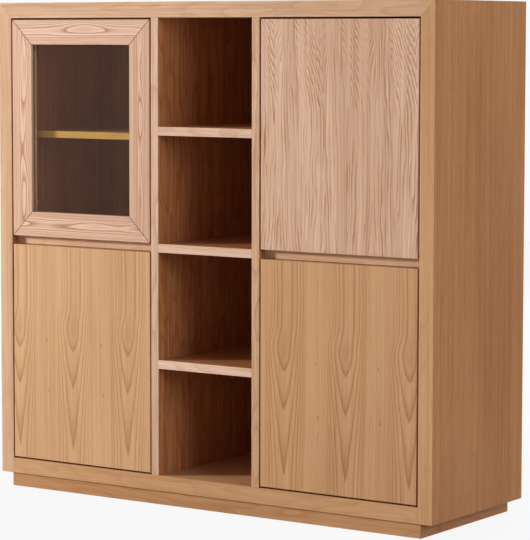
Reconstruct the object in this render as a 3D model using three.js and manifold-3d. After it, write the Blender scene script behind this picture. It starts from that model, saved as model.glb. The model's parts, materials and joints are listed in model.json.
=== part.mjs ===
// Waiter service station: a veneered case on a set-back plinth, with an open middle bay,
// a glazed door and three slab doors hung on single-pivot cup hinges.
// Millimetres, +Z up, front towards -Y, origin on the floor under the middle of the case.
import * as THREE from 'three';
import { mergeVertices } from 'three/addons/utils/BufferGeometryUtils.js';
import Module from 'manifold-3d';

const wasm = await Module();
wasm.setup();

// Case
const overallWidth = 1200;
const overallDepth = 400;
const overallHeight = 1156;
const sideThickness = 36;
const topThickness = 36;
const bottomThickness = 36;
const dividerThickness = 20;
const shelfThickness = 20;
const middleBayWidth = 260;
const backThickness = 8;
const backRebate = 10;
const mitreGap = 0.3;
const cutOverrun = 1;

// Plinth
const plinthHeight = 32;
const plinthThickness = 18;
const plinthFrontSetback = 5;
const plinthSideSetback = 30;
const plinthBackSetback = 10;

// Doors
const doorThickness = 20;
const doorReveal = 4;
const fingerClearance = 0.5;
const railSetback = 1;
const edgeEase = 1;

// Glazed door
const frameWidth = 58;
const glassRebateWidth = 10;
const frontLip = 7;
const glassThickness = 5;
const glassFit = 1;
const beadGap = 0.3;

// Loose shelves behind the doors, on pins
const looseShelfThickness = 16;
const looseShelfSetback = 15;
const looseShelfFit = 1;
const looseShelfDrop = 16;
const pinRadius = 2.5;
const pinReach = 9;
const pinFrontOffset = 80;
const pinBackOffset = 320;

// Cup hinges
const hingeEndDistance = 75;
const cupBoreRadius = 17.5;
const cupBoreDepth = 14;
const cupEdgeDistance = 5;
const cupWall = 1;
const cupFit = 0.3;
const cupSides = 24;
const flangeRadius = 20;
const flangeThickness = 1;
const lugSpan = 52;
const lugRadius = 5.5;
const hingePinRadius = 1.8;
const hingePinDepth = 11.5;
const hingePinFit = 0.3;
const swingClearance = 0.5;
const eyeWall = 1.5;
const armWidth = 14;
const armThickness = 2.5;
const armNeckAngle = THREE.MathUtils.degToRad(31);
const armTurnAngle = THREE.MathUtils.degToRad(95);
const armSweepClearance = 0.8;
const plateFront = 44;
const plateLength = 46;
const plateRise = 5;
const plateBase = 2.5;
const wingSpan = 50;
const wingLength = 16;

// Places that follow from the sizes
const outerX = overallWidth / 2;
const innerX = outerX - sideThickness;
const frontY = -overallDepth / 2;
const backY = overallDepth / 2;
const backPanelY = backY - backThickness;
const caseBottomZ = plinthHeight;
const floorZ = caseBottomZ + bottomThickness;
const ceilingZ = overallHeight - topThickness;
const bayX = middleBayWidth / 2;
const dividerX = bayX + dividerThickness;
const doorBackY = frontY + doorThickness;
const shelfPitch = (ceilingZ - floorZ + shelfThickness) / 4;
const middleShelfZ = [1, 2, 3].map((step) => floorZ + step * shelfPitch - shelfThickness);
const fixedShelfZ = middleShelfZ[1];
const doorInnerX = dividerX + doorReveal;
const doorOuterX = innerX - doorReveal;
const lowerDoor = { bottom: floorZ + doorReveal, top: fixedShelfZ - fingerClearance };
const upperDoor = { bottom: fixedShelfZ + shelfThickness + fingerClearance, top: ceilingZ - doorReveal };
const lowerBay = { bottom: floorZ, top: fixedShelfZ };
const upperBay = { bottom: fixedShelfZ + shelfThickness, top: ceilingZ };

// The pin stands just far enough in for the door's front corner to swing past the side panel.
const hingePinX = (doorReveal ** 2 + hingePinDepth ** 2 - swingClearance ** 2)
  / (2 * (doorReveal - swingClearance));
const cupX = doorReveal + cupEdgeDistance + cupBoreRadius;
const hingePinY = frontY + hingePinDepth;

const oak = { color: 0xc79b72, roughness: 0.55, metalness: 0 };
const darkOak = { color: 0x9a6a45, roughness: 0.6, metalness: 0 };
const edgeOak = { color: 0xd9a654, roughness: 0.5, metalness: 0 };
const steel = { color: 0xb9bcc0, roughness: 0.3, metalness: 1 };
const teaGlass = {
  color: 0x4a3b35, roughness: 0.05, metalness: 0, transparent: true, opacity: 0.45,
};

const station = new THREE.Group();

function add(name, geometry, look) {
  const mesh = new THREE.Mesh(geometry, new THREE.MeshStandardMaterial(look));
  mesh.name = name;
  station.add(mesh);
}

// Solids

function toManifold(geometry) {
  const bare = geometry.clone();
  bare.deleteAttribute('normal');
  bare.deleteAttribute('uv');
  const merged = mergeVertices(bare, 1e-4);
  const vertProperties = new Float32Array(merged.attributes.position.array);
  const triVerts = new Uint32Array(merged.index.array);
  return new wasm.Manifold(new wasm.Mesh({ numProp: 3, vertProperties, triVerts }));
}

function fromManifold(solid) {
  const mesh = solid.getMesh();
  const geometry = new THREE.BufferGeometry();
  const position = new THREE.BufferAttribute(new Float32Array(mesh.vertProperties), 3);
  geometry.setAttribute('position', position);
  geometry.setIndex(new THREE.BufferAttribute(new Uint32Array(mesh.triVerts), 1));
  geometry.computeVertexNormals();
  return geometry;
}

function combine(base, { plus = [], minus = [], within = [] }) {
  let solid = toManifold(base);
  for (const piece of plus) solid = solid.add(toManifold(piece));
  for (const piece of within) solid = solid.intersect(toManifold(piece));
  for (const piece of minus) solid = solid.subtract(toManifold(piece));
  return fromManifold(solid);
}

// A prism of a flat outline between two planes square to the named axis.
function prism(shape, axis, low, high, curveSegments = 16) {
  const geometry = new THREE.ExtrudeGeometry(shape, { depth: 1, bevelEnabled: false, curveSegments });
  const position = geometry.attributes.position;
  for (let i = 0; i < position.count; i += 1) {
    const u = position.getX(i);
    const v = position.getY(i);
    const far = position.getZ(i) > 0.5;
    if (axis === 'z') position.setXYZ(i, u, v, far ? high : low);
    if (axis === 'y') position.setXYZ(i, u, far ? low : high, v);
    if (axis === 'x') position.setXYZ(i, far ? high : low, u, v);
  }
  geometry.computeVertexNormals();
  return geometry;
}

function outline(points) {
  return new THREE.Shape(points.map(([u, v]) => new THREE.Vector2(u, v)));
}

function rectangle(u0, u1, v0, v1) {
  return outline([[u0, v0], [u1, v0], [u1, v1], [u0, v1]]);
}

function board(x0, x1, y0, y1, z0, z1) {
  return prism(rectangle(Math.min(x0, x1), Math.max(x0, x1), y0, y1), 'z', z0, z1);
}

function rod(x, y, z, radius, axis, length, sides = 16) {
  const geometry = new THREE.CylinderGeometry(radius, radius, length, sides);
  if (axis === 'x') geometry.rotateZ(Math.PI / 2);
  if (axis === 'z') geometry.rotateX(Math.PI / 2);
  geometry.translate(x, y, z);
  return geometry;
}

// A panel whose front and back edges are rounded over.
function easedPanel(x0, x1, y0, y1, z0, z1) {
  const shape = rectangle(x0 + edgeEase, x1 - edgeEase, z0 + edgeEase, z1 - edgeEase);
  const geometry = new THREE.ExtrudeGeometry(shape, {
    depth: y1 - y0 - 2 * edgeEase,
    bevelThickness: edgeEase,
    bevelSize: edgeEase,
    bevelSegments: 2,
  });
  geometry.rotateX(Math.PI / 2);
  geometry.translate(0, y1 - edgeEase, 0);
  return geometry;
}

// A strip of even thickness along a centre line, with mitred corners.
function ribbon(points, thickness) {
  const left = [];
  const right = [];
  points.forEach((point, i) => {
    const before = point.clone().sub(points[Math.max(i - 1, 0)]).normalize();
    const after = points[Math.min(i + 1, points.length - 1)].clone().sub(point).normalize();
    const along = before.clone().add(after).normalize();
    const normal = new THREE.Vector2(-along.y, along.x);
    const bend = before.lengthSq() && after.lengthSq() ? along.dot(after) : 1;
    normal.multiplyScalar(thickness / 2 / bend);
    left.push(point.clone().add(normal));
    right.unshift(point.clone().sub(normal));
  });
  return new THREE.Shape([...left, ...right]);
}

// Case boards

const backRecess = board(
  -innerX - backRebate, innerX + backRebate, backPanelY, backY + backThickness,
  floorZ - backRebate, ceilingZ + backRebate,
);

function looseShelfZ(bay) {
  return (bay.bottom + bay.top - looseShelfThickness) / 2 - looseShelfDrop;
}

// Shelf pins stand half in their wall and half out of it, under the loose shelves.
function shelfPins(wallX) {
  return [lowerBay, upperBay].flatMap((bay) => [pinFrontOffset, pinBackOffset].map(
    (offset) => rod(
      wallX, frontY + offset, looseShelfZ(bay) - pinRadius, pinRadius, 'x', 2 * pinReach, 12,
    ),
  ));
}

function topPanel() {
  const profile = outline([
    [-innerX, ceilingZ], [innerX, ceilingZ], [outerX, overallHeight], [-outerX, overallHeight],
  ]);
  return combine(prism(profile, 'y', frontY, backY), { minus: [backRecess] });
}

function sidePanel(side) {
  const drop = mitreGap * Math.SQRT2;
  const profile = outline([
    [side * innerX, caseBottomZ], [side * outerX, caseBottomZ],
    [side * outerX, overallHeight - drop], [side * innerX, ceilingZ - drop],
  ]);
  const plain = prism(profile, 'y', frontY, backY);
  return combine(plain, { plus: shelfPins(side * innerX), minus: [backRecess] });
}

function divider(side) {
  const plain = board(side * bayX, side * dividerX, frontY, backPanelY, floorZ, ceilingZ);
  return combine(plain, { plus: shelfPins(side * dividerX) });
}

add('top_panel', topPanel(), oak);
const bottomPlain = board(-innerX, innerX, frontY, backY, caseBottomZ, floorZ);
add('bottom_panel', combine(bottomPlain, { minus: [backRecess] }), oak);
add('back_panel', board(
  -innerX - backRebate + mitreGap, innerX + backRebate - mitreGap, backPanelY, backY,
  floorZ - backRebate + mitreGap, ceilingZ + backRebate - mitreGap,
), darkOak);

const sides = [{ name: 'left', side: -1 }, { name: 'right', side: 1 }];
for (const { name, side } of sides) {
  add(`${name}_side_panel`, sidePanel(side), oak);
  add(`${name}_divider`, divider(side), oak);
  add(`${name}_fixed_shelf`, board(
    side * dividerX, side * innerX, doorBackY + railSetback, backPanelY,
    fixedShelfZ, fixedShelfZ + shelfThickness,
  ), oak);
  for (const [level, bay] of [['lower', lowerBay], ['upper', upperBay]]) {
    const z = looseShelfZ(bay);
    add(`${name}_${level}_loose_shelf`, board(
      side * (dividerX + looseShelfFit), side * (innerX - looseShelfFit),
      doorBackY + looseShelfSetback, backPanelY - looseShelfFit, z, z + looseShelfThickness,
    ), edgeOak);
  }
}

['lower', 'centre', 'upper'].forEach((level, i) => {
  const z = middleShelfZ[i];
  add(`middle_shelf_${level}`, board(-bayX, bayX, frontY, backPanelY, z, z + shelfThickness), oak);
});

// Plinth boards, mitred at the four corners

function plinthBoards() {
  const x = outerX - plinthSideSetback;
  const front = frontY + plinthFrontSetback;
  const back = backY - plinthBackSetback;
  const t = plinthThickness;
  const gap = mitreGap * Math.SQRT2;
  const long = (y, into) => outline([
    [-x + gap, y], [x - gap, y], [x - t - gap, y + into * t], [-x + t + gap, y + into * t],
  ]);
  const short = (side) => outline([
    [side * x, front], [side * x, back], [side * (x - t), back - t], [side * (x - t), front + t],
  ]);
  return {
    plinth_front: long(front, 1),
    plinth_back: long(back, -1),
    plinth_left: short(-1),
    plinth_right: short(1),
  };
}

for (const [name, shape] of Object.entries(plinthBoards())) {
  add(name, prism(shape, 'z', 0, caseBottomZ), oak);
}

// Hinges. Local x runs from the side panel into the bay, local y from the front plane back.

function hingeZ(door) {
  return { lower: door.bottom + hingeEndDistance, upper: door.top - hingeEndDistance };
}

function acrossBay(side, x) {
  return side * (innerX - x);
}

function cupBore(side, z) {
  const length = cupBoreDepth + cutOverrun;
  const y = doorBackY - cupBoreDepth + length / 2;
  return rod(acrossBay(side, cupX), y, z, cupBoreRadius, 'y', length, cupSides);
}

function hingeCup(side, z) {
  const radius = cupBoreRadius - cupFit;
  const inner = radius - cupWall;
  const bottom = doorBackY - cupBoreDepth + cupFit;
  const profile = [
    [0, bottom], [radius, bottom], [radius, doorBackY + flangeThickness],
    [inner, doorBackY + flangeThickness], [inner, bottom + cupWall], [0, bottom + cupWall],
  ].map(([r, y]) => new THREE.Vector2(r, y));
  const x = acrossBay(side, cupX);
  const body = new THREE.LatheGeometry(profile, cupSides);
  body.translate(x, 0, z);
  const flange = new THREE.Shape().absarc(x, z, flangeRadius, 0, 2 * Math.PI);
  const lugs = new THREE.Shape();
  lugs.absarc(x, z + lugSpan / 2, lugRadius, 0, Math.PI);
  lugs.absarc(x, z - lugSpan / 2, lugRadius, Math.PI, 2 * Math.PI);
  const [disc, ears] = [[flange, cupSides / 2], [lugs, 4]].map(
    ([shape, steps]) => prism(shape, 'y', doorBackY, doorBackY + flangeThickness, steps),
  );
  const mouth = rod(x, doorBackY, z, radius - cupWall / 2, 'y', cupBoreDepth, cupSides);
  const chord = Math.sqrt(inner ** 2 - (cupX - hingePinX) ** 2);
  const pinX = acrossBay(side, hingePinX);
  const pin = rod(pinX, hingePinY, z, hingePinRadius, 'z', 2 * chord + cupWall / 2, 12);
  const ring = combine(disc, { plus: [ears], minus: [mouth] });
  return combine(body, { plus: [ring, pin] });
}

function hingeArm(side, z) {
  const pinX = acrossBay(side, hingePinX);
  const sweep = Math.hypot(hingePinX - doorReveal, hingePinDepth) + armSweepClearance;
  const radius = sweep + armThickness / 2;
  const turn = new THREE.EllipseCurve(
    hingePinX, hingePinDepth, radius, radius, armNeckAngle, armTurnAngle,
  );
  const railX = plateRise + mitreGap + armThickness / 2;
  const line = [
    new THREE.Vector2(hingePinX, hingePinDepth),
    ...turn.getPoints(7),
    new THREE.Vector2(railX, plateFront),
    new THREE.Vector2(railX, plateFront + plateLength),
  ].map((point) => new THREE.Vector2(acrossBay(side, point.x), frontY + point.y));
  const strip = prism(ribbon(line, armThickness), 'z', z - armWidth / 2, z + armWidth / 2);
  const bore = hingePinRadius + hingePinFit;
  const eye = rod(pinX, hingePinY, z, bore + eyeWall, 'z', armWidth, 16);
  const hole = rod(pinX, hingePinY, z, bore, 'z', 2 * armWidth, 12);
  return combine(strip, { plus: [eye], minus: [hole] });
}

function hingePlate(side, z) {
  const y0 = frontY + plateFront;
  const y1 = y0 + plateLength;
  const middle = (y0 + y1) / 2;
  const slab = (shape, rise) => {
    const faces = [acrossBay(side, 0), acrossBay(side, rise)].sort((a, b) => a - b);
    return prism(shape, 'x', faces[0], faces[1], 4);
  };
  const rail = slab(rectangle(y0, y1, z - armWidth / 2, z + armWidth / 2), plateRise);
  const wings = new THREE.Shape();
  const reach = (wingSpan - wingLength) / 2;
  wings.absarc(middle, z + reach, wingLength / 2, 0, Math.PI);
  wings.absarc(middle, z - reach, wingLength / 2, Math.PI, 2 * Math.PI);
  return combine(rail, { plus: [slab(wings, plateBase)] });
}

function addHinges(doorName, side, door) {
  for (const [level, z] of Object.entries(hingeZ(door))) {
    add(`${doorName}_${level}_hinge_cup`, hingeCup(side, z), steel);
    add(`${doorName}_${level}_hinge_arm`, hingeArm(side, z), steel);
    add(`${doorName}_${level}_hinge_plate`, hingePlate(side, z), steel);
  }
}

function cupBores(side, door) {
  return Object.values(hingeZ(door)).map((z) => cupBore(side, z));
}

function addSlabDoor(name, side, door) {
  const [x0, x1] = [side * doorInnerX, side * doorOuterX].sort((a, b) => a - b);
  const slab = easedPanel(x0, x1, frontY, doorBackY, door.bottom, door.top);
  add(`${name}_panel`, combine(slab, { minus: cupBores(side, door) }), oak);
  addHinges(name, side, door);
}

// Glazed door: a mitred frame with a rebate at the back, a pane and four glazing beads

function addGlazedDoor(name, side, door) {
  const [x0, x1] = [side * doorInnerX, side * doorOuterX].sort((a, b) => a - b);
  const z0 = door.bottom;
  const z1 = door.top;
  const gap = mitreGap / Math.SQRT2;
  const ring = (inset, width) => {
    const [left, right] = [x0 + inset, x1 - inset];
    const [low, high] = [z0 + inset, z1 - inset];
    const [innerLeft, innerRight] = [left + width, right - width];
    const [innerLow, innerHigh] = [low + width, high - width];
    return {
      left_stile: [
        [left, low + gap], [innerLeft, innerLow + gap], [innerLeft, innerHigh - gap], [left, high - gap],
      ],
      right_stile: [
        [right, low + gap], [right, high - gap], [innerRight, innerHigh - gap], [innerRight, innerLow + gap],
      ],
      bottom_rail: [
        [left + gap, low], [right - gap, low], [innerRight - gap, innerLow], [innerLeft + gap, innerLow],
      ],
      top_rail: [
        [left + gap, high], [innerLeft + gap, innerHigh], [innerRight - gap, innerHigh], [right - gap, high],
      ],
    };
  };
  const lipBackY = frontY + frontLip;
  const rebateInset = frameWidth - glassRebateWidth;
  const rebate = board(
    x0 + rebateInset, x1 - rebateInset, lipBackY, doorBackY + doorThickness,
    z0 + rebateInset, z1 - rebateInset,
  );
  const slab = easedPanel(x0, x1, frontY, doorBackY, z0, z1);
  const hungStile = side < 0 ? 'left_stile' : 'right_stile';
  for (const [member, points] of Object.entries(ring(0, frameWidth))) {
    const bores = member === hungStile ? cupBores(side, door) : [];
    const trim = prism(outline(points), 'y', frontY - cutOverrun, doorBackY + cutOverrun);
    add(`${name}_${member}`, combine(slab, { within: [trim], minus: [rebate, ...bores] }), oak);
  }
  const paneInset = rebateInset + glassFit;
  const paneBackY = lipBackY + glassThickness;
  add(`${name}_pane`, board(
    x0 + paneInset, x1 - paneInset, lipBackY, paneBackY, z0 + paneInset, z1 - paneInset,
  ), teaGlass);
  const beadInset = rebateInset + beadGap;
  const beadWidth = glassRebateWidth - beadGap;
  for (const [member, points] of Object.entries(ring(beadInset, beadWidth))) {
    const bead = prism(outline(points), 'y', paneBackY, doorBackY);
    add(`${name}_${member}_bead`, bead, oak);
  }
  addHinges(name, side, door);
}

addGlazedDoor('left_upper_door', -1, upperDoor);
addSlabDoor('left_lower_door', -1, lowerDoor);
addSlabDoor('right_upper_door', 1, upperDoor);
addSlabDoor('right_lower_door', 1, lowerDoor);

export default station;
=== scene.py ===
import json
import math

import bmesh
import bpy
from mathutils import Euler, Matrix, Vector


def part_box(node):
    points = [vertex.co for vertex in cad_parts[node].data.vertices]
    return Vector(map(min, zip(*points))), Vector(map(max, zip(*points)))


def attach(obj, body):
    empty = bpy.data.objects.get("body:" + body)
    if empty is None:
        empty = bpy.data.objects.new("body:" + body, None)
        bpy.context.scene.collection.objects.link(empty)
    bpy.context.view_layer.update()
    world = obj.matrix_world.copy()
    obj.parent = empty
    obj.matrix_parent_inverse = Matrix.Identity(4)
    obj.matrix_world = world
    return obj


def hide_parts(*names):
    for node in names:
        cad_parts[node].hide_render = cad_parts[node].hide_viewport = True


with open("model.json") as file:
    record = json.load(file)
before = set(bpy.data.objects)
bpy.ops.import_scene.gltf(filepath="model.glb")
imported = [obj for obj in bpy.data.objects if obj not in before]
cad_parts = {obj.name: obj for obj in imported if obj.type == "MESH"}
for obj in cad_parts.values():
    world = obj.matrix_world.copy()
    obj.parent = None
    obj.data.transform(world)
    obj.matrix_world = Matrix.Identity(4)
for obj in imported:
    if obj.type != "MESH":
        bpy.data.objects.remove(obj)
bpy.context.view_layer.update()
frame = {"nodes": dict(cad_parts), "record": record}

nodes = frame["nodes"]
slots = {row["node"]: row["material_slot"] for row in frame["record"]["subparts"]}
bodyOf = {node: body for body, held in frame["record"]["behaviour"]["bodies"].items() for node in held}


def rgb(red, green, blue):  # a screen colour as the linear one that shaders take
    linear = [v / 255 / 12.92 if v < 11 else ((v / 255 + 0.055) / 1.055) ** 2.4 for v in (red, green, blue)]
    return (*linear, 1.0)


class Wire:  # one output socket, with arithmetic that adds Math nodes
    def __init__(self, graph, socket):
        self.graph = graph
        self.socket = socket

    def out(self, name):
        return Wire(self.graph, self.socket.node.outputs[name])

    def math(self, operation, *others):
        return self.graph.node("ShaderNodeMath", {"operation": operation}, dict(enumerate((self, *others))))

    def turned(self, operation, other):  # the reflected form, with the plain number first
        return self.graph.node("ShaderNodeMath", {"operation": operation}, {0: other, 1: self})

    def __add__(self, other):
        return self.math("ADD", other)

    def __sub__(self, other):
        return self.math("SUBTRACT", other)

    def __mul__(self, other):
        return self.math("MULTIPLY", other)

    def __truediv__(self, other):
        return self.math("DIVIDE", other)

    def __pow__(self, other):
        return self.math("POWER", other)

    def __rsub__(self, other):
        return self.turned("SUBTRACT", other)

    def __rtruediv__(self, other):
        return self.turned("DIVIDE", other)

    __radd__ = __add__
    __rmul__ = __mul__

    def span(self, low, high):  # 0 at low, 1 at high, smooth between
        settings = {"interpolation_type": "SMOOTHSTEP"}
        return self.graph.node("ShaderNodeMapRange", settings, {0: self, 1: low, 2: high})


class Graph:  # the node tree of one material or of the world
    def __init__(self, owner):
        owner.use_nodes = True
        self.tree = owner.node_tree
        self.tree.nodes.clear()

    def node(self, kind, settings=None, sockets=None):
        made = self.tree.nodes.new(kind)
        for key, value in (settings or {}).items():
            setattr(made, key, value)
        for key, value in (sockets or {}).items():
            if isinstance(value, Wire):
                self.tree.links.new(value.socket, made.inputs[key])
            else:
                made.inputs[key].default_value = value
        return Wire(self, next(s for s in made.outputs if s.enabled)) if made.outputs else None

    def mix(self, factor, first, second):  # colours
        return self.node("ShaderNodeMix", {"data_type": "RGBA"}, {0: factor, 6: first, 7: second})

    def place(self):
        return self.node("ShaderNodeTexCoord").out("Object")

    def speckle(self, scale, detail):  # the same in every direction
        sockets = {"Vector": self.place(), "Scale": scale, "Detail": detail}
        return self.node("ShaderNodeTexNoise", None, sockets)

    def layer(self, look, across, along, seed):  # noise stretched along the grain, in its own slice
        sockets = {0: across * look["across"], 1: along * look["along"], 2: seed + look["slice"]}
        stretched = self.node("ShaderNodeCombineXYZ", None, sockets)
        sockets = {"Vector": stretched, "Scale": 1.0, "Detail": look.get("detail", 2.0),
                   "Roughness": look.get("rough", 0.5)}
        return self.node("ShaderNodeTexNoise", None, sockets)

    def bump(self, height, strength, distance):
        sockets = {"Strength": strength, "Distance": distance, "Height": height}
        return self.node("ShaderNodeBump", None, sockets)

    def seen(self):  # 1 for rays from the camera, a mirror or glass
        rays = self.node("ShaderNodeLightPath")
        bright = rays.out("Is Camera Ray").math("MAXIMUM", rays.out("Is Glossy Ray"))
        return bright.math("MAXIMUM", rays.out("Is Transmission Ray"))

    def surface(self, finish):
        shader = self.node("ShaderNodeBsdfPrincipled", None, finish)
        self.node("ShaderNodeOutputMaterial", None, {"Surface": shader})


oakShades = {"light": (16, 17, 17), "dark": (-30, -36, -38), "line": (-50, -66, -74)}


def toneOf(red, green, blue):  # the light, dark and line colours of one lot of oak
    return {name: rgb(red + r, green + g, blue + b) for name, (r, g, b) in oakShades.items()}


oakTones = {
    "rose": toneOf(230, 192, 166),
    "honey": toneOf(211, 165, 122),
    "tan": toneOf(215, 173, 138),
    # the next tone is darker, painting the shade on the right side and under its overhang
    "brown": toneOf(183, 127, 80),
    "gold": toneOf(238, 184, 84),
    # the next tone is darker, painting the shade on the faces inside the case
    "umber": toneOf(184, 128, 86),
    "amber": toneOf(202, 154, 110),
    "blush": toneOf(224, 185, 157),
    "chestnut": toneOf(191, 141, 97),
}
ringEdge = 0.09  # how soft the dark side of a ring is
fray = {"across": 260.0, "along": 9.0, "slice": 6.0}  # short tears along the grain


def ringLine(rings, thin):  # a dark edge at each whole ring, fading inwards
    tooth = rings.math("FRACT")
    return (1 - tooth) ** thin * tooth.span(0.0, ringEdge)


def leafPlace(across, leaf):  # the distance from the middle of the nearest slip-matched leaf
    steps = (across - leaf["centre"]) / leaf["width"]
    return (steps - steps.math("ROUND")) * leaf["width"]


lowerLeaf = {
    "width": 0.162, "start": 0.072, "base": 0.93, "rings": 2.2, "crowd": 22.0, "crest": 3.72, "blunt": 0.3,
    "bend": 1600.0, "keel": 8.0, "thin": 4.2, "fray": 0.12,
    "sway": {"across": 9.0, "along": 0.0, "slice": 2.0}, "bow": 0.004,
    "warp": {"across": 30.0, "along": 7.0, "slice": 4.0, "detail": 1.0}, "warpRings": 0.35,
    "shoulder": (0.39, 0.45), "shift": 0.011, "lopside": (-0.02, 0.02), "lopShare": 0.5,
    "edge": (0.043, 0.054), "edgeFade": 0.72,
    "heartRings": 0.45, "heartTop": (0.36, 0.48), "heartTint": 0.3,
    "knots": ((0.079, 0.359), (0.073, 0.241)), "knotEdge": (0.0004, 0.003), "knotStretch": 0.5,
    "knotDark": 0.75,
}


def archFigure(g, across, along, look):  # long arches with their points down, straight grain between
    leaf, seed = look["leaf"], look["seed"]
    sway = (g.layer(leaf["sway"], along, 0.0, seed) - 0.5) * leaf["bow"]
    local = leafPlace(across, leaf)
    lop = 1 - local.span(*leaf["lopside"]) * leaf["lopShare"]
    u = local - along.span(*leaf["shoulder"]) * lop * leaf["shift"] + sway
    reach = u.math("ABSOLUTE")
    t = along - leaf["start"]
    rise = t * t * leaf["crowd"] + t * leaf["rings"] + leaf["base"]
    climb = rise.math("SMOOTH_MIN", leaf["crest"], leaf["blunt"])
    torn = g.layer(fray, across, along, seed) - 0.5
    warp = g.layer(leaf["warp"], u, along, seed) - 0.5
    bent = warp * leaf["warpRings"] + torn * leaf["fray"]
    rings = climb - u * u * leaf["bend"] - reach * leaf["keel"] + bent
    line = ringLine(rings, leaf["thin"]) * (1 - reach.span(*leaf["edge"]) * leaf["edgeFade"])
    heart = rings.span(leaf["crest"] - leaf["heartRings"], leaf["crest"])
    heart = heart * (1 - along.span(*leaf["heartTop"]))
    line = line.math("MAXIMUM", heart * leaf["heartTint"])
    for dx, z in leaf["knots"]:  # pin knots, the same on every leaf
        du = leafPlace(across + dx, leaf)
        dz = (along - z) * leaf["knotStretch"]
        away = (du * du + dz * dz).math("SQRT").span(*leaf["knotEdge"])
        line = line.math("MAXIMUM", leaf["knotDark"] - away * leaf["knotDark"])
    return line


upperLeaf = {
    "width": 0.12, "tip": 1.09, "lean": 0.1, "drift": 0.018, "start": 0.9, "crowd": 120.0,
    "calm": (0.016, 0.036), "calmShare": 0.85, "foot": 0.74, "arch": 60.0, "keel": 122.0, "thin": 2.2,
    "fray": 0.45, "sway": {"across": 6.0, "along": 0.0, "slice": 2.0}, "bow": 0.01,
    "warp": {"across": 26.0, "along": 4.0, "slice": 4.0, "detail": 1.0}, "warpRings": 2.8,
    "twist": {"across": 70.0, "along": 9.0, "slice": 9.0, "detail": 1.0}, "twistRings": 1.6,
    "strong": {"across": 60.0, "along": 5.0, "slice": 3.0}, "strongFrom": (0.36, 0.62), "faint": 0.25,
}


def crownFigure(g, across, along, look):  # points at the top, long leaning lines below
    leaf, seed = look["leaf"], look["seed"]
    drift = ((leaf["tip"] - along) * leaf["lean"]).math("MINIMUM", leaf["drift"])
    sway = (g.layer(leaf["sway"], along, 0.0, seed) - 0.5) * leaf["bow"]
    u = leafPlace(across - drift, leaf) + sway
    high = (along - leaf["start"]).math("MAXIMUM", 0.0)
    foot = (leaf["foot"] - along).math("MAXIMUM", 0.0)
    calm = 1 - u.span(*leaf["calm"]) * leaf["calmShare"]  # the right of each point stands straight
    climb = high * high * leaf["crowd"] * calm + foot * foot * leaf["arch"]
    torn = g.layer(fray, across, along, seed) - 0.5
    warp = g.layer(leaf["warp"], u, along, seed) - 0.5
    twist = g.layer(leaf["twist"], across, along, seed) - 0.5
    bent = warp * leaf["warpRings"] + twist * leaf["twistRings"] + torn * leaf["fray"]
    rings = climb - u.math("ABSOLUTE") * leaf["keel"] + bent
    strong = g.layer(leaf["strong"], across, along, seed).span(*leaf["strongFrom"])
    return ringLine(rings, leaf["thin"]) * (leaf["faint"] + strong * (1 - leaf["faint"]))


plainFlow = {"across": 20.0, "along": 3.2, "slice": 2.0, "detail": 1.0, "rings": 7.0, "thin": 2.6,
             "fray": 0.14}


def flowFigure(g, across, along, look):  # the loops and waves of a plain-sawn board
    flow, seed = {**plainFlow, **look.get("flow", {})}, look["seed"]
    hill = g.layer(flow, across, along, seed)
    torn = g.layer(fray, across, along, seed) - 0.5
    rings = hill * flow["rings"] + torn * flow["fray"]
    if "middle" in flow:  # ovals along the board's middle, close lines at its sides
        u = across - flow["middle"] + (hill - 0.5) * flow["bow"]
        rings = rings + u * u * flow["arch"]
    return ringLine(rings, flow["thin"])


figures = {"arch": archFigure, "crown": crownFigure, "flow": flowFigure}
plainLook = {"tone": "tan", "kind": "flow", "streak": 0.42, "cloud": 0.24, "pore": 0.2}
wanderLayer = {"across": 2.0, "along": 2.4, "slice": 0.0}
grainLayers = {
    "pore": {"across": 700.0, "along": 22.0, "slice": 7.7, "detail": 1.0, "from": (0.58, 0.76)},
    "streak": {"across": 240.0, "along": 1.8, "slice": 1.9, "detail": 3.0, "rough": 0.6, "from": (0.32, 0.7)},
    "band": {"across": 60.0, "along": 0.9, "slice": 8.3, "from": (0.3, 0.7)},
}
cloudLayer = {"across": 6.0, "along": 1.4, "slice": 5.3, "from": (0.25, 0.75)}
oakFinish = {"wander": 0.012, "streakShare": 0.6, "poreRelief": 0.7, "bump": 0.12, "bumpDepth": 0.0004,
             "rough": 0.42, "poreRough": 0.16, "streakRough": 0.06, "specular": 0.1}
faces = {"insideFrom": -0.1985, "insideTo": 0.1965, "outerFrom": 0.5995}  # front edges, back, outer sides; the first two bound the painted inside shade
glueLine = {"colour": rgb(112, 72, 48), "edge": (0.0005, 0.0017)}


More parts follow.
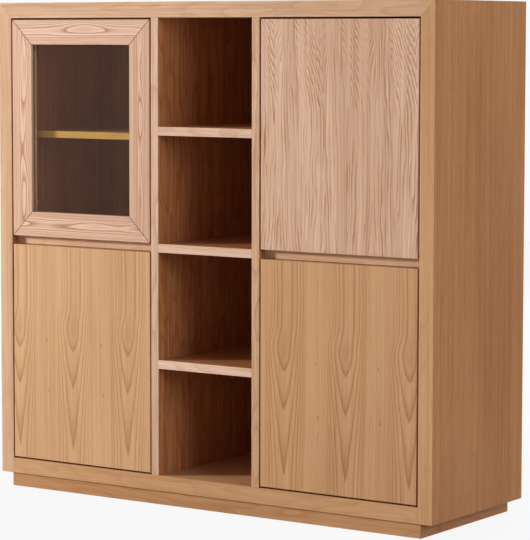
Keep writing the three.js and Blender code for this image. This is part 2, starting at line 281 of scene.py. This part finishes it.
def oakVeneer(name, look):
    look = {**plainLook, **look}
    material = bpy.data.materials.new(name)
    g = Graph(material)
    axes = g.node("ShaderNodeSeparateXYZ", None, {0: g.place()})
    x, y, z = (axes.out(axis) for axis in "XYZ")
    along, across = {"x": (x, y + z), "y": (y, x + z), "z": (z, x + y)}[look["grain"]]
    seed = look["seed"]
    line = figures[look["kind"]](g, across, along, look)
    wander = (g.layer(wanderLayer, across, along, seed) - 0.5) * oakFinish["wander"]
    grainAt = across + wander
    pore, streak, band = (g.layer(layer, grainAt, along, seed).span(*layer["from"])
                          for layer in grainLayers.values())
    cloud = g.layer(cloudLayer, across, along, seed).span(*cloudLayer["from"])
    fibre = streak * oakFinish["streakShare"] + band * (1 - oakFinish["streakShare"])
    depth = fibre * look["streak"] + cloud * look["cloud"]
    marks = line * look["figure"] + pore * look["pore"]

    def shade(tone):
        lot = oakTones[tone]
        return g.mix(marks, g.mix(depth, lot["light"], lot["dark"]), lot["line"])

    colour = shade(look["tone"])
    width = x.math("ABSOLUTE")
    if "inside" in look:  # the faces inside the case in a darker tone: painted shade for the dim inside of the bays and cupboards
        wall = width.math("LESS_THAN", look["inside"]) * y.math("GREATER_THAN", faces["insideFrom"])
        colour = g.mix(wall * y.math("LESS_THAN", faces["insideTo"]), colour, shade("umber"))
    if "lipped" in look:  # a golden lipping along the front edge
        colour = g.mix(y.math("LESS_THAN", look["lipped"]), colour, shade("gold"))
    if "outer" in look:  # the outer face in its own tone: another lot of veneer on the left side, a darker brown on the right side that paints the shade falling there
        colour = g.mix(width.math("GREATER_THAN", faces["outerFrom"]), colour, shade(look["outer"]))
    if "mitre" in look:  # the glue line of the frame's corners
        (cx, cz), (hx, hz) = look["mitre"]
        apart = (hx - (x - cx).math("ABSOLUTE")) - (hz - (z - cz).math("ABSOLUTE"))
        joint = 1 - apart.math("ABSOLUTE").span(*glueLine["edge"])
        colour = g.mix(joint, colour, glueLine["colour"])
    relief = 1 - (pore * oakFinish["poreRelief"] + line * (1 - oakFinish["poreRelief"]))
    rough = oakFinish["rough"] + pore * oakFinish["poreRough"] + streak * oakFinish["streakRough"]
    g.surface({"Base Color": colour, "Roughness": rough, "Specular IOR Level": oakFinish["specular"],
               "Normal": g.bump(relief, oakFinish["bump"], oakFinish["bumpDepth"])})
    return material


nickelLook = {"bright": rgb(206, 205, 202), "worn": rgb(150, 148, 144), "fine": 900.0, "broad": 60.0,
              "wornFrom": (0.35, 0.7), "rough": 0.24, "fineRough": 0.1, "wornRough": 0.08, "bump": 0.05,
              "bumpDepth": 0.0002}


def platedNickel(name):
    material = bpy.data.materials.new(name)
    g = Graph(material)
    fine = g.speckle(nickelLook["fine"], 2.0)
    worn = g.speckle(nickelLook["broad"], 3.0).span(*nickelLook["wornFrom"])
    rough = nickelLook["rough"] + fine * nickelLook["fineRough"] + worn * nickelLook["wornRough"]
    g.surface({"Base Color": g.mix(worn, nickelLook["bright"], nickelLook["worn"]), "Metallic": 1.0,
               "Roughness": rough, "Normal": g.bump(fine, nickelLook["bump"], nickelLook["bumpDepth"])})
    return material


paneLook = {"tint": rgb(102, 72, 58), "haze": 14.0, "hazeFrom": (0.3, 0.8), "rough": 0.03, "hazeRough": 0.03,
            "cover": 0.15, "hazeCover": 0.02, "bend": 1.52}


def teaGlass(name):
    material = bpy.data.materials.new(name)
    g = Graph(material)
    haze = g.speckle(paneLook["haze"], 3.0).span(*paneLook["hazeFrom"])
    g.surface({"Base Color": paneLook["tint"], "Roughness": paneLook["rough"] + haze * paneLook["hazeRough"],
               "Alpha": paneLook["cover"] + haze * paneLook["hazeCover"], "IOR": paneLook["bend"]})
    return material


# the dark colour paints the shade inside a deep hole, with lighter specks
holeLook = {"dark": rgb(34, 20, 12), "dusty": rgb(56, 34, 20), "dust": 700.0, "dustFrom": (0.4, 0.7),
            "rough": 0.8, "dustRough": 0.15}


def holeShade(name):
    material = bpy.data.materials.new(name)
    g = Graph(material)
    dust = g.speckle(holeLook["dust"], 2.0).span(*holeLook["dustFrom"])
    g.surface({"Base Color": g.mix(dust, holeLook["dark"], holeLook["dusty"]),
               "Roughness": holeLook["rough"] + dust * holeLook["dustRough"]})
    return material


def finishPiece(bm, name, material, body, stands=()):
    mesh = bpy.data.meshes.new(name)
    bm.to_mesh(mesh)
    bm.free()
    mesh.materials.append(material)
    piece = bpy.data.objects.new(name, mesh)
    bpy.context.collection.objects.link(piece)
    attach(piece, body)
    if stands:
        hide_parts(*stands)
    return piece


easing = {"case": 0.0008, "door": 0.001, "segments": 3, "merge": 1e-6, "flat": 0.01, "shortest": 0.015,
          "corner": 0.5, "aslant": 0.005}


def easedEdge(edge):  # long and along one axis, so that small holes and mitres stay sharp
    if edge.calc_length() <= easing["shortest"] or not edge.is_manifold:
        return False
    runs = [abs(d) > easing["aslant"] for d in edge.verts[0].co - edge.verts[1].co]
    return edge.calc_face_angle() > easing["corner"] and sum(runs) == 1


def easeBoard(node, material, ease):  # the CAD board with its long edges rounded over
    bm = bmesh.new()
    bm.from_mesh(nodes[node].data)
    bmesh.ops.remove_doubles(bm, verts=bm.verts, dist=easing["merge"])
    bmesh.ops.dissolve_limit(bm, angle_limit=easing["flat"], verts=bm.verts, edges=bm.edges)
    bmesh.ops.bevel(bm, geom=[e for e in bm.edges if easedEdge(e)], offset=ease, affect="EDGES",
                    segments=easing["segments"], profile=0.5, material=-1, clamp_overlap=True)
    return finishPiece(bm, node + ".eased", material, bodyOf[node], [node])


# inside: how far from the middle the faces inside the case take the darker tone of painted shade
sideLook = {"grain": "z", "inside": 0.5642, "streak": 0.4, "cloud": 0.34, "pore": 0.3}
dividerLook = {"grain": "z", "figure": 0.5, "streak": 0.75, "pore": 0.6, "inside": 0.2}
bayShelf = {"grain": "x", "tone": "rose", "figure": 0.35, "streak": 0.7, "pore": 0.35, "inside": 0.2}
looseShelf = {"grain": "x", "figure": 0.2, "lipped": -0.164}
plinthLook = {"figure": 0.3, "tone": "chestnut"}
frameFlow = {"across": 11.0, "along": 4.6, "rings": 5.4, "thin": 2.4, "arch": 8200.0, "bow": 0.024}
frameLook = {"figure": 1.25, "tone": "rose", "streak": 0.8, "mitre": ((-0.357, 0.86025), (0.203, 0.25575))}
archLook = {"grain": "z", "seed": 24.9, "figure": 0.85, "kind": "arch"}
crownLook = {"grain": "z", "seed": 25.5, "figure": 1.25, "streak": 0.7, "kind": "crown"}
boards = {
    "top_panel": {"grain": "x", "seed": 1.3, "figure": 0.3, "streak": 0.6, "pore": 0.3},
    "bottom_panel": {"grain": "x", "seed": 2.1, "figure": 0.2, "tone": "amber"},
    "left_side_panel": {**sideLook, "seed": 3.7, "figure": 0.2, "outer": "chestnut"},
    "right_side_panel": {**sideLook, "seed": 4.4, "figure": 0.12, "tone": "amber", "outer": "brown"},
    "left_divider": {**dividerLook, "seed": 5.2, "tone": "rose"},
    "right_divider": {**dividerLook, "seed": 6.9},
    "left_fixed_shelf": {"grain": "x", "seed": 7.1, "figure": 0.25},
    "right_fixed_shelf": {"grain": "x", "seed": 8.6, "figure": 0.25},
    "middle_shelf_lower": {**bayShelf, "seed": 9.2},
    "middle_shelf_centre": {**bayShelf, "seed": 10.4},
    "middle_shelf_upper": {**bayShelf, "seed": 11.8},
    "plinth_front": {**plinthLook, "grain": "x", "seed": 12.5},
    "plinth_back": {**plinthLook, "grain": "x", "seed": 13.3},
    "plinth_left": {**plinthLook, "grain": "y", "seed": 14.6},
    # the right plinth board is darker, painting the shade under the overhang
    "plinth_right": {**plinthLook, "grain": "y", "seed": 15.2, "tone": "brown"},
    "left_lower_loose_shelf": {**looseShelf, "seed": 16.1},
    "left_upper_loose_shelf": {**looseShelf, "seed": 17.4},
    "right_lower_loose_shelf": {**looseShelf, "seed": 18.2},
    "right_upper_loose_shelf": {**looseShelf, "seed": 19.7},
    "left_upper_door_left_stile": {**frameLook, "grain": "z", "seed": 20.3,
                                   "flow": {**frameFlow, "middle": -0.73}},
    "left_upper_door_right_stile": {**frameLook, "grain": "z", "seed": 21.6,
                                    "flow": {**frameFlow, "middle": -0.382}},
    "left_upper_door_top_rail": {**frameLook, "grain": "x", "seed": 22.8,
                                 "flow": {**frameFlow, "middle": 0.888}},
    "left_upper_door_bottom_rail": {**frameLook, "grain": "x", "seed": 23.1,
                                    "flow": {**frameFlow, "middle": 0.4345}},
    "left_lower_door_panel": {**archLook, "tone": "honey", "leaf": {**lowerLeaf, "centre": -0.58}},
    "right_upper_door_panel": {**crownLook, "tone": "blush", "leaf": {**upperLeaf, "centre": -0.014}},
    # the right lower door is a shade darker than the left one, painting the dimmer light that falls on the
    # right
    "right_lower_door_panel": {**archLook, "tone": "amber", "leaf": {**lowerLeaf, "centre": 0.18}},
}
for node, look in boards.items():
    kind = "door" if node.endswith("_door_panel") else "case"
    easeBoard(node, oakVeneer("oak." + node, look), easing[kind])
print("boards eased:", len(boards))

beadLook = {"grain": "z", "seed": 33.2, "figure": 0.2, "tone": "rose"}
backLook = {"grain": "z", "seed": 31.4, "figure": 0.3, "tone": "honey", "inside": 0.14}
beadOak = oakVeneer("oak.beads", beadLook)
backOak = oakVeneer("oak.back", backLook)
nickel = platedNickel("nickel")
slotLooks = {"oak": beadOak, "back_oak": backOak, "steel": nickel, "tea_glass": teaGlass("teaGlass")}
for node, held in nodes.items():
    if node not in boards:
        held.data.materials.clear()
        held.data.materials.append(slotLooks[slots[node]])
print("carried nodes finished:", len(nodes) - len(boards))

backBoard = {"inset": 0.0012, "ease": 0.0006, "screwEdge": 0.008, "across": 7, "up": 6}


def cutBack():  # the back panel, let in far enough to hide its screw heads
    low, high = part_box("back_panel")
    high.y -= backBoard["inset"]
    bm = bmesh.new()
    bmesh.ops.create_cube(bm, size=1.0)
    bmesh.ops.scale(bm, vec=high - low, verts=bm.verts)
    bmesh.ops.translate(bm, vec=(low + high) / 2, verts=bm.verts)
    bmesh.ops.bevel(bm, geom=bm.edges[:], offset=backBoard["ease"], affect="EDGES", segments=2, profile=0.5,
                    material=-1, clamp_overlap=True)
    finishPiece(bm, "back_panel.eased", backOak, "case", ["back_panel"])


def vertsIn(geom):
    return [item for item in geom if isinstance(item, bmesh.types.BMVert)]


def edgesOn(geom, verts):
    edges = [item for item in geom if isinstance(item, bmesh.types.BMEdge)]
    return [edge for edge in edges if all(v in verts for v in edge.verts)]


screw = {"radius": 0.0036, "rise": 0.0009, "taper": 0.8, "arm": 0.0019, "half": 0.0005, "deep": 0.0007,
         "sides": 12}


def driveScrew(bm, at, way):  # a flat head with a cross recess, standing on a face
    rim = bmesh.ops.create_circle(bm, cap_ends=True, segments=screw["sides"], radius=screw["radius"])["verts"]
    rimEdges = list(dict.fromkeys(e for v in rim for e in v.link_edges))
    head = bmesh.ops.extrude_edge_only(bm, edges=rimEdges)["geom"]
    crown = vertsIn(head)
    bmesh.ops.scale(bm, vec=(screw["taper"], screw["taper"], 1.0), verts=crown)
    bmesh.ops.translate(bm, vec=(0.0, 0.0, screw["rise"]), verts=crown)
    a, h = screw["arm"], screw["half"]
    quarter = [(a, -h), (a, h), (h, h)]
    corners = []
    for _ in range(4):  # a quarter of the cross, turned round
        corners += quarter
        quarter = [(-v, u) for u, v in quarter]
    cross = [bm.verts.new((u, v, screw["rise"])) for u, v in corners]
    crossEdges = [bm.edges.new((v, cross[i - 1])) for i, v in enumerate(cross)]
    bmesh.ops.bridge_loops(bm, edges=edgesOn(head, crown) + crossEdges)
    pit = bmesh.ops.extrude_edge_only(bm, edges=crossEdges)["geom"]
    floor = vertsIn(pit)
    bmesh.ops.translate(bm, vec=(0.0, 0.0, -screw["deep"]), verts=floor)
    bmesh.ops.contextual_create(bm, geom=edgesOn(pit, floor))
    turn = Vector(way).to_track_quat("Z", "Y").to_matrix().to_4x4()
    bmesh.ops.transform(bm, matrix=Matrix.Translation(at) @ turn, verts=rim + crown + cross + floor)


def backScrews():
    low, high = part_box("back_panel")
    edge = backBoard["screwEdge"]
    y = high.y - backBoard["inset"]
    bm = bmesh.new()
    spots = set()
    for i in range(backBoard["across"]):
        x = low.x + edge + (high.x - low.x - 2 * edge) * i / (backBoard["across"] - 1)
        spots |= {(x, low.z + edge), (x, high.z - edge)}
    for i in range(backBoard["up"]):
        z = low.z + edge + (high.z - low.z - 2 * edge) * i / (backBoard["up"] - 1)
        spots |= {(low.x + edge, z), (high.x - edge, z)}
    for x, z in sorted(spots):
        driveScrew(bm, (x, y, z), (0.0, 1.0, 0.0))
    bmesh.ops.recalc_face_normals(bm, faces=bm.faces)
    finishPiece(bm, "backScrews", nickel, "case")


hinge = {"lugSpan": 0.052, "cupEdge": 0.0265, "wingReach": 0.017, "wingRise": 0.0025, "armRise": 0.0078,
         "innerX": 0.564, "wingY": -0.133, "armY": (-0.147, -0.121)}


def hingeScrews():
    doors = sorted({node[: node.index("_door_") + 5] for node in nodes if "_door_" in node})
    cupX, wingX, armX = (hinge["innerX"] - hinge[rise] for rise in ("cupEdge", "wingRise", "armRise"))
    onCase = bmesh.new()
    for door in doors:
        side = -1 if door.startswith("left") else 1
        onDoor = bmesh.new()
        for level in ("lower", "upper"):
            low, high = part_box(f"{door}_{level}_hinge_cup")
            z = (low.z + high.z) / 2
            for way in (-1, 1):
                cupAt = (side * cupX, high.y, z + way * hinge["lugSpan"] / 2)
                wingAt = (side * wingX, hinge["wingY"], z + way * hinge["wingReach"])
                driveScrew(onDoor, cupAt, (0.0, 1.0, 0.0))
                driveScrew(onCase, wingAt, (-side, 0.0, 0.0))
            for y in hinge["armY"]:
                driveScrew(onCase, (side * armX, y, z), (-side, 0.0, 0.0))
        bmesh.ops.recalc_face_normals(onDoor, faces=onDoor.faces)
        finishPiece(onDoor, door + ".cupScrews", nickel, door)
    bmesh.ops.recalc_face_normals(onCase, faces=onCase.faces)
    finishPiece(onCase, "plateScrews", nickel, "case")


peg = {"radius": 0.0027, "reach": 0.0093, "collar": 0.0042, "collarRise": 0.0008, "dome": 0.0008,
       "domeShare": 0.4, "tipFrom": 0.6, "sides": 20, "y": (-0.12, 0.12), "drop": 0.0025}
bush = {"radius": 0.0026, "lip": 0.0007, "rise": 0.0003, "sunk": 0.8, "sides": 14, "pitch": 0.042,
        "steps": (-2, -1, 1, 2)}
# the sleeves take the same darker tone as the walls they sit on: painted shade
bushLook = {"grain": "z", "seed": 41.5, "figure": 0.2, "tone": "umber"}
walls = {"left_side_panel": (-0.564, 1), "left_divider": (-0.15, -1), "right_divider": (0.15, 1),
         "right_side_panel": (0.564, -1)}


def addPeg(bm, at, way):  # a domed pin with a collar against the wall
    turn = Matrix.Translation(at) @ Matrix.Rotation(math.radians(90), 4, "Y")
    for radius, reach in ((peg["radius"], peg["reach"]), (peg["collar"], peg["collarRise"])):
        place = turn @ Matrix.Translation((0.0, 0.0, way * reach / 2))
        made = bmesh.ops.create_cone(bm, cap_ends=True, segments=peg["sides"], radius1=radius, radius2=radius,
                                     depth=reach, matrix=place)["verts"]
        tip = [v for v in made if (v.co.x - at[0]) * way > reach * peg["tipFrom"]]
        rim = [e for e in bm.edges if e.verts[0] in tip and e.verts[1] in tip]
        bmesh.ops.bevel(bm, geom=rim, offset=min(peg["dome"], reach * peg["domeShare"]), affect="EDGES",
                        segments=2, profile=0.5, material=-1, clamp_overlap=True)


def addBush(bm, at, way):  # a sleeve round a shelf-pin hole; its shallow well is painted dark as the hole's shade
    before = set(bm.verts)
    reach = bush["radius"] + bush["lip"]
    made = bmesh.ops.create_circle(bm, cap_ends=True, segments=bush["sides"], radius=reach)["verts"]
    raised = bmesh.ops.extrude_face_region(bm, geom=[made[0].link_faces[0]])["geom"]
    bmesh.ops.translate(bm, vec=(0.0, 0.0, bush["rise"]), verts=vertsIn(raised))
    lid = next(item for item in raised if isinstance(item, bmesh.types.BMFace))
    bmesh.ops.inset_region(bm, faces=[lid], thickness=bush["lip"])
    well = bmesh.ops.extrude_discrete_faces(bm, faces=[lid])["faces"][0]
    bmesh.ops.translate(bm, vec=(0.0, 0.0, -bush["rise"] * bush["sunk"]), verts=well.verts)
    # the well takes the dark hole material: painted shade
    well.material_index = 1
    turn = Vector((way, 0.0, 0.0)).to_track_quat("Z", "Y").to_matrix().to_4x4()
    fresh = [v for v in bm.verts if v not in before]
    bmesh.ops.transform(bm, matrix=Matrix.Translation(at) @ turn, verts=fresh)


def shelfPegs():
    pegs, bushes = bmesh.new(), bmesh.new()
    for wall, (x, way) in walls.items():
        for level in ("lower", "upper"):
            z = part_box(f"{wall.split('_')[0]}_{level}_loose_shelf")[0].z - peg["drop"]
            for y in peg["y"]:
                addPeg(pegs, (x, y, z), way)
                for step in bush["steps"]:
                    addBush(bushes, (x, y, z + step * bush["pitch"]), way)
    bmesh.ops.recalc_face_normals(pegs, faces=pegs.faces)
    finishPiece(pegs, "shelfPegs", nickel, "case")
    bushes.normal_update()
    piece = finishPiece(bushes, "pegHoles", oakVeneer("oak.bushes", bushLook), "case")
    piece.data.materials.append(holeShade("pegHoleShade"))


cutBack()
backScrews()
hingeScrews()
shelfPegs()
print("fittings made")

studio = {"floorSize": 14.0, "floorMatt": (0.5, 0.5, 0.5, 1.0), "floorGlow": 0.91, "ambient": 0.2,
          "backdrop": 0.95}
white = (1.0, 1.0, 1.0, 1.0)


def layFloor():  # matt under the light, pale to the eye
    bm = bmesh.new()
    bmesh.ops.create_grid(bm, x_segments=1, y_segments=1, size=studio["floorSize"] / 2)
    mesh = bpy.data.meshes.new("floor")
    bm.to_mesh(mesh)
    bm.free()
    material = bpy.data.materials.new("paleFloor")
    g = Graph(material)
    matt = g.node("ShaderNodeBsdfDiffuse", None, {"Color": studio["floorMatt"]})
    glow = g.node("ShaderNodeEmission", None, {"Color": white, "Strength": 1.0})
    shader = g.node("ShaderNodeMixShader", None, {0: g.seen() * studio["floorGlow"], 1: matt, 2: glow})
    g.node("ShaderNodeOutputMaterial", None, {"Surface": shader})
    mesh.materials.append(material)
    floor = bpy.data.objects.new("floor", mesh)
    bpy.context.collection.objects.link(floor)


def lightWorld():
    world = bpy.data.worlds.new("studio")
    bpy.context.scene.world = world
    g = Graph(world)
    strength = studio["ambient"] + g.seen() * (studio["backdrop"] - studio["ambient"])
    sky = g.node("ShaderNodeBackground", None, {"Color": white, "Strength": strength})
    g.node("ShaderNodeOutputWorld", None, {"Surface": sky})


lamps = {
    "key": {"at": (-4.2, -3.0, 1.75), "aim": (0.0, -0.1, 0.6), "size": 0.68, "watts": 246.0},
    "fill": {"at": (4.0, -1.4, 1.9), "aim": (0.3, 0.0, 0.6), "size": 2.0, "watts": 66.0},
    "over": {"at": (0.3, 0.9, 4.0), "aim": (0.0, 0.0, 1.1), "size": 2.4, "watts": 50.0},
    "rear": {"at": (-1.2, 4.6, 2.4), "aim": (0.0, 0.2, 0.6), "size": 2.0, "watts": 110.0, "mirrored": False},
}


def hangLamps():
    for name, lamp in lamps.items():
        data = bpy.data.lights.new(name, "AREA")
        data.size = lamp["size"]
        data.energy = lamp["watts"]
        made = bpy.data.objects.new(name, data)
        made.location = lamp["at"]
        made.visible_glossy = lamp.get("mirrored", True)  # no glare along the top
        aim = Vector(lamp["aim"]) - Vector(lamp["at"])
        made.rotation_euler = aim.to_track_quat("-Z", "Y").to_euler()
        bpy.context.collection.objects.link(made)


camera = {"at": (3.2979, -4.7924, 1.0777), "heading": 34.6354, "rise": -4.6381, "roll": 0.0584,
          "focal": 2511.0, "centre": (250.0, 240.0), "image": (530, 540), "sensor": 36.0, "far": 100.0}


def setCamera():
    data = bpy.data.cameras.new("camera")
    width, height = camera["image"]
    data.sensor_fit = "AUTO"
    data.sensor_width = camera["sensor"]
    data.lens = camera["focal"] * camera["sensor"] / max(width, height)
    data.shift_x = (width / 2 - camera["centre"][0]) / max(width, height)
    data.shift_y = (camera["centre"][1] - height / 2) / max(width, height)
    data.clip_end = camera["far"]
    made = bpy.data.objects.new("camera", data)
    turn = Euler((math.radians(90 + camera["rise"]), 0.0, math.radians(camera["heading"])), "XYZ")
    made.matrix_world = (Matrix.Translation(camera["at"]) @ turn.to_matrix().to_4x4()
                         @ Matrix.Rotation(math.radians(camera["roll"]), 4, "Z"))
    bpy.context.collection.objects.link(made)
    bpy.context.scene.camera = made


layFloor()
lightWorld()
hangLamps()
setCamera()
bpy.context.scene.view_settings.view_transform = "Standard"
print("studio set")
